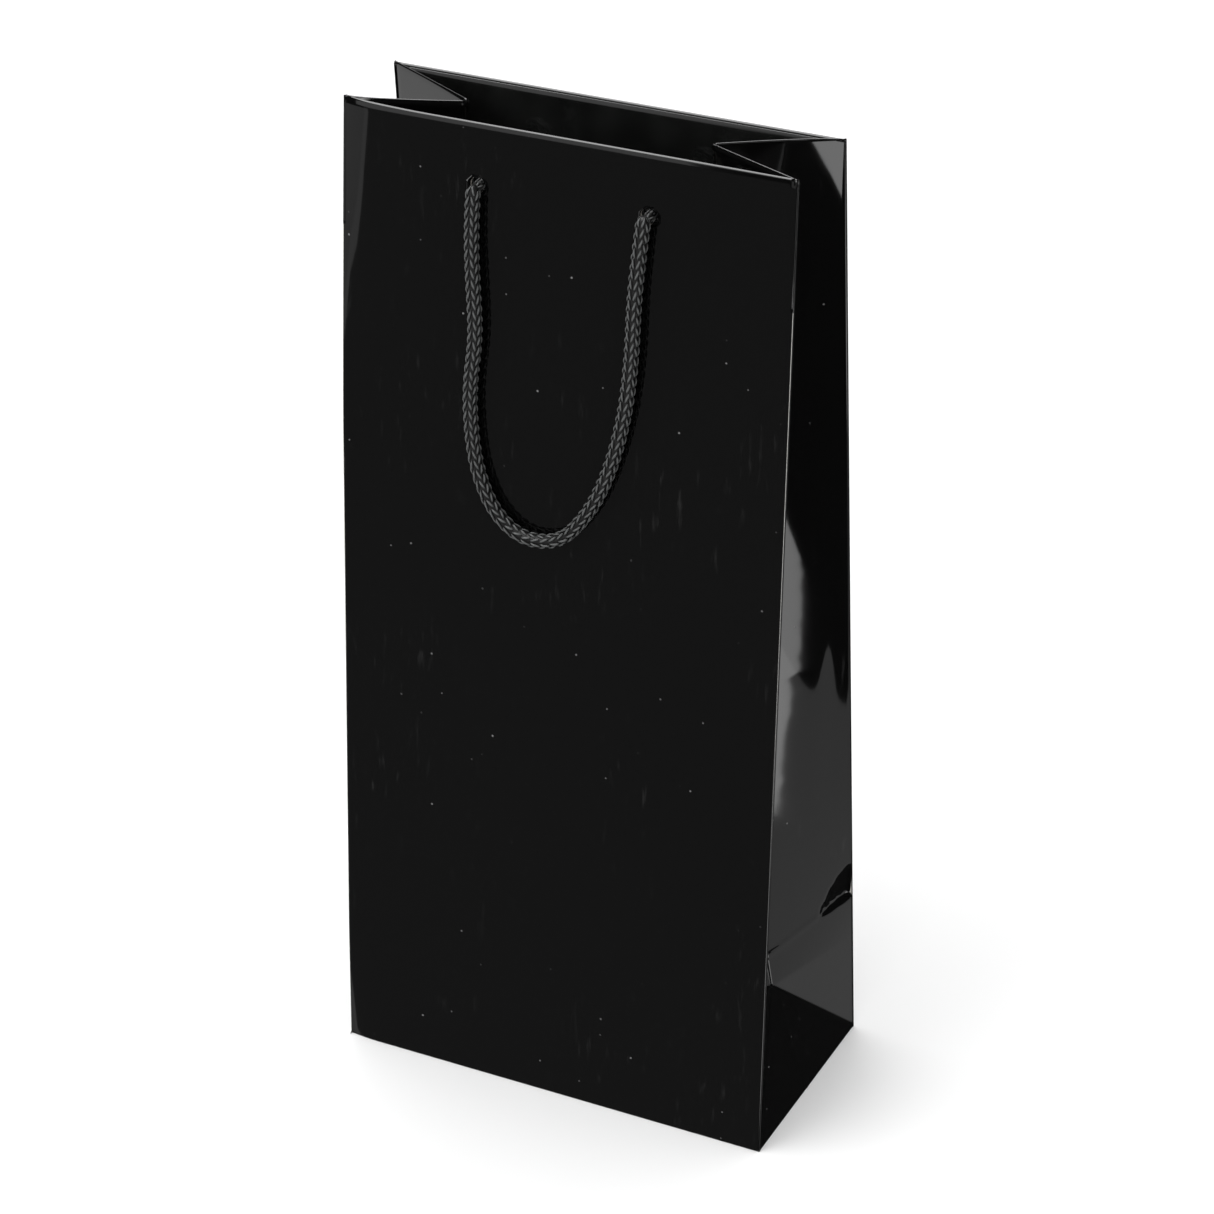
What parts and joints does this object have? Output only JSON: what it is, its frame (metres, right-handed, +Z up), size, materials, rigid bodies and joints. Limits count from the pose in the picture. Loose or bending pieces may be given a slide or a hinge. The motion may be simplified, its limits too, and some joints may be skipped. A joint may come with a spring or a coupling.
{
  "type": "wine gift bag",
  "caption": "Tall gloss black paper carrier bag for wine bottles, with side gussets, a turned-in top edge, a flat folded base and knitted cord handles tied through punched holes.",
  "frame": {"origin": "centre of the base on the surface it stands on", "axes": "+X across the front panel to the right, +Z up, and the front panel faces -Y"},
  "size_m": [0.18, 0.092, 0.3912],
  "materials": {
    "paper": "gloss laminated black",
    "card": "uncoated",
    "greyboard": "uncoated grey board",
    "cord": "knitted black cord"
  },
  "bodies": {
    "base": {"back_bottom_flap": "paper", "front_bottom_flap": "paper", "right_bottom_flap": "paper", "left_bottom_flap": "paper", "base_board": "greyboard"},
    "front_panel": {"front_panel": "paper", "front_hem": "paper", "front_card": "card", "front_knots": "cord"},
    "back_panel": {"back_panel": "paper", "back_hem": "paper", "back_card": "card", "back_knots": "cord", "glue_seam": "paper"},
    "right_foot": {"right_foot": "paper"},
    "left_foot": {"left_foot": "paper"},
    "right_front_gusset": {"right_front_gusset": "paper", "right_front_gusset_hem": "paper"},
    "right_back_gusset": {"right_back_gusset": "paper", "right_back_gusset_hem": "paper"},
    "left_front_gusset": {"left_front_gusset": "paper", "left_front_gusset_hem": "paper"},
    "left_back_gusset": {"left_back_gusset": "paper", "left_back_gusset_hem": "paper"},
    "front_handle": {"front_handle": "cord"},
    "back_handle": {"back_handle": "cord"}
  },
  "joints": [
    {"name": "front_lean", "type": "hinge", "parent": "base", "child": "front_panel", "pos_m": [0, -0.046, 0], "axis": [1, 0, 0], "range_deg": [0, 3.73]},
    {"name": "back_lean", "type": "hinge", "parent": "base", "child": "back_panel", "pos_m": [0, 0.046, 0], "axis": [-1, 0, 0], "range_deg": [0, 4.2]},
    {"name": "right_foot_fold", "type": "hinge", "parent": "base", "child": "right_foot", "pos_m": [0.09, 0, 0], "axis": [0, 1, 0], "range_deg": [0, 24]},
    {"name": "left_foot_fold", "type": "hinge", "parent": "base", "child": "left_foot", "pos_m": [-0.09, 0, 0], "axis": [0, -1, 0], "range_deg": [0, 24]},
    {"name": "right_front_gusset_fold", "type": "hinge", "parent": "front_panel", "child": "right_front_gusset", "pos_m": [0.09, -0.046, 0], "axis": [0, -0.0651, -0.9979], "range_deg": [0, 70], "deforming": ["right_front_gusset", "right_front_gusset_hem"]},
    {"name": "right_back_gusset_fold", "type": "hinge", "parent": "back_panel", "child": "right_back_gusset", "pos_m": [0.09, 0.046, 0], "axis": [0, -0.0651, 0.9979], "range_deg": [0, 70], "deforming": ["right_back_gusset", "right_back_gusset_hem"]},
    {"name": "left_front_gusset_fold", "type": "hinge", "parent": "front_panel", "child": "left_front_gusset", "pos_m": [-0.09, -0.046, 0], "axis": [0, 0.0651, 0.9979], "range_deg": [0, 70], "deforming": ["left_front_gusset", "left_front_gusset_hem"]},
    {"name": "left_back_gusset_fold", "type": "hinge", "parent": "back_panel", "child": "left_back_gusset", "pos_m": [-0.09, 0.046, 0], "axis": [0, 0.0651, -0.9979], "range_deg": [0, 70], "deforming": ["left_back_gusset", "left_back_gusset_hem"]},
    {"name": "front_handle_swing", "type": "hinge", "parent": "front_panel", "child": "front_handle", "pos_m": [0, -0.02504, 0.36842], "axis": [-1, 0, 0], "range_deg": [0, 172]},
    {"name": "back_handle_swing", "type": "hinge", "parent": "back_panel", "child": "back_handle", "pos_m": [0, 0.02504, 0.36842], "axis": [1, 0, 0], "range_deg": [0, 172]}
  ],
  "couplings": [
    {"joint": "back_lean", "follows": "front_lean", "ratio": 1},
    {"joint": "right_foot_fold", "follows": "front_lean", "ratio": 5.4848},
    {"joint": "left_foot_fold", "follows": "front_lean", "ratio": 5.4848},
    {"joint": "right_front_gusset_fold", "follows": "front_lean", "ratio": 17.018},
    {"joint": "right_back_gusset_fold", "follows": "front_lean", "ratio": 17.018},
    {"joint": "left_front_gusset_fold", "follows": "front_lean", "ratio": 17.018},
    {"joint": "left_back_gusset_fold", "follows": "front_lean", "ratio": 17.018}
  ]
}
